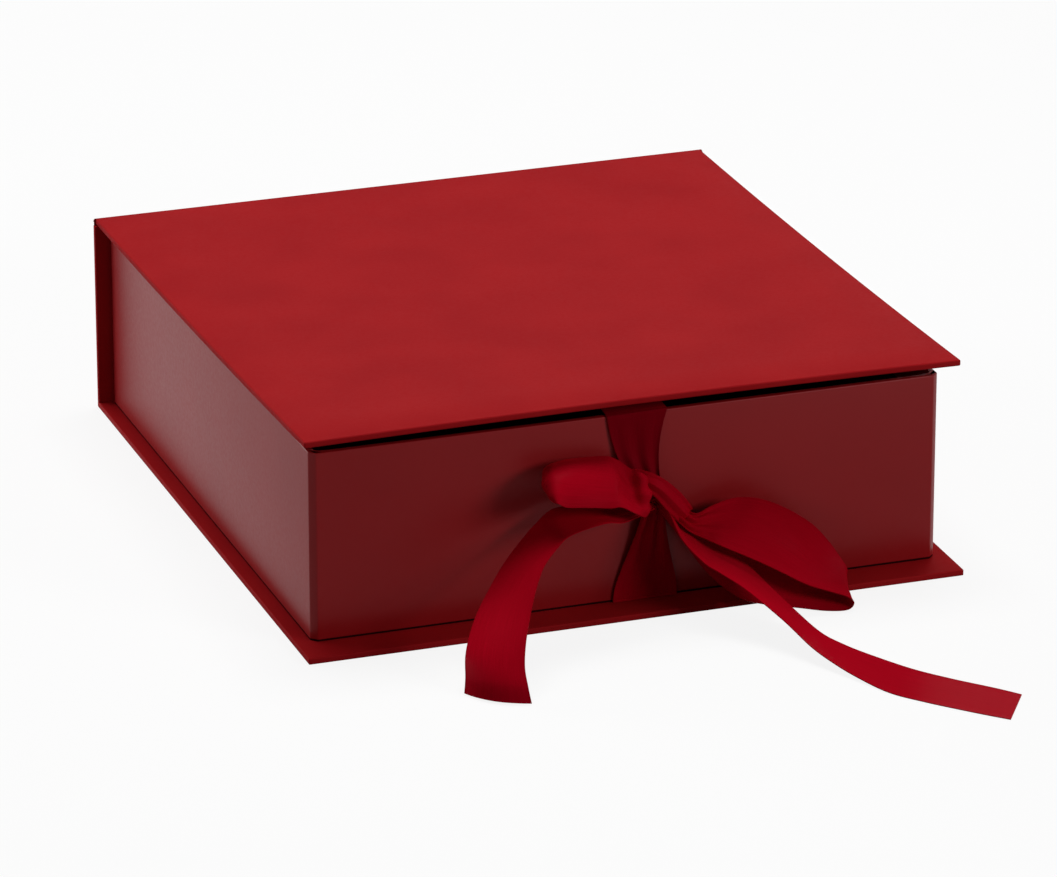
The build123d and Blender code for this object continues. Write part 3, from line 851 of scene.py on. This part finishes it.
# %% Tell the rays apart
def seen_share(tree):
    """Share that is 1 for rays from the camera, from a gloss and through a clear part, else 0."""
    rays = add_node(tree, "ShaderNodeLightPath").outputs
    direct = add_node(tree, "ShaderNodeMath", {0: rays["Is Camera Ray"], 1: rays["Is Glossy Ray"]},
                      operation="MAXIMUM").outputs[0]
    return add_node(tree, "ShaderNodeMath", {0: direct, 1: rays["Is Transmission Ray"]},
                    operation="MAXIMUM").outputs[0]


# %% Lay the floor
FLOOR_SIZE = 12
GLOW_SHARE = 0.88
bpy.ops.object.select_all(action="DESELECT")
bpy.ops.mesh.primitive_plane_add(size=FLOOR_SIZE)
floor = bpy.context.object
floor.name = "floor"
floor_paint, floor_tree = new_material("pale_sweep")
floor_seen = seen_share(floor_tree)
paint = mix_colours(floor_tree, floor_seen, linear("666666"), linear("F6F6F6"))
shade = add_node(floor_tree, "ShaderNodeBsdfDiffuse", {"Color": paint})
glow = add_node(floor_tree, "ShaderNodeEmission", {"Color": linear("FFFFFF"), "Strength": 1.0})
glow_share = add_node(floor_tree, "ShaderNodeMath", {0: floor_seen, 1: GLOW_SHARE},
                      operation="MULTIPLY").outputs[0]
floor_mix = add_node(floor_tree, "ShaderNodeMixShader", {0: glow_share, 1: shade.outputs["BSDF"],
                                                         2: glow.outputs["Emission"]})
close_material(floor_tree, floor_mix.outputs["Shader"])
floor.data.materials.append(floor_paint)
print("floor:", FLOOR_SIZE, "m,", floor_paint.name)

# %% Light the box
ROOM_STRENGTH = 0.08
LAMP_AIM = Vector((0, 0, 0.04))
world = bpy.data.worlds.new("studio")
bpy.context.scene.world = world
world.use_nodes = True
air = world.node_tree
air.nodes.clear()
room = add_node(air, "ShaderNodeBackground", {"Color": linear("FFFFFF"), "Strength": ROOM_STRENGTH})
backdrop = add_node(air, "ShaderNodeBackground", {"Color": linear("FBFBFB"), "Strength": 1.0})
air_mix = add_node(air, "ShaderNodeMixShader", {0: seen_share(air), 1: room.outputs["Background"],
                                                2: backdrop.outputs["Background"]})
add_node(air, "ShaderNodeOutputWorld", {"Surface": air_mix.outputs["Shader"]})


def add_lamp(name, place, width, height, power):
    """Add a soft box that looks at the object."""
    data = bpy.data.lights.new(name, "AREA")
    data.shape = "RECTANGLE"
    data.size = width
    data.size_y = height
    data.energy = power
    lamp = bpy.data.objects.new(name, data)
    lamp.location = place
    lamp.rotation_mode = "QUATERNION"
    lamp.rotation_quaternion = (LAMP_AIM - Vector(place)).to_track_quat("-Z", "Y")
    bpy.context.scene.collection.objects.link(lamp)
    print(name, power, "W")


LAMPS = (
    ("top_soft_box", (0.1, 0.4, 1.77), 1.0, 0.65, 21.5),
    ("front_soft_box", (1.2, -1.65, 0.74), 0.75, 0.5, 15),
    ("left_soft_box", (-1.75, 1.5, 0.45), 1.2, 0.8, 24),
    ("fill_soft_box", (-1.7, -1.3, 0.7), 0.7, 0.5, 3),
)
for lamp_settings in LAMPS:
    add_lamp(*lamp_settings)
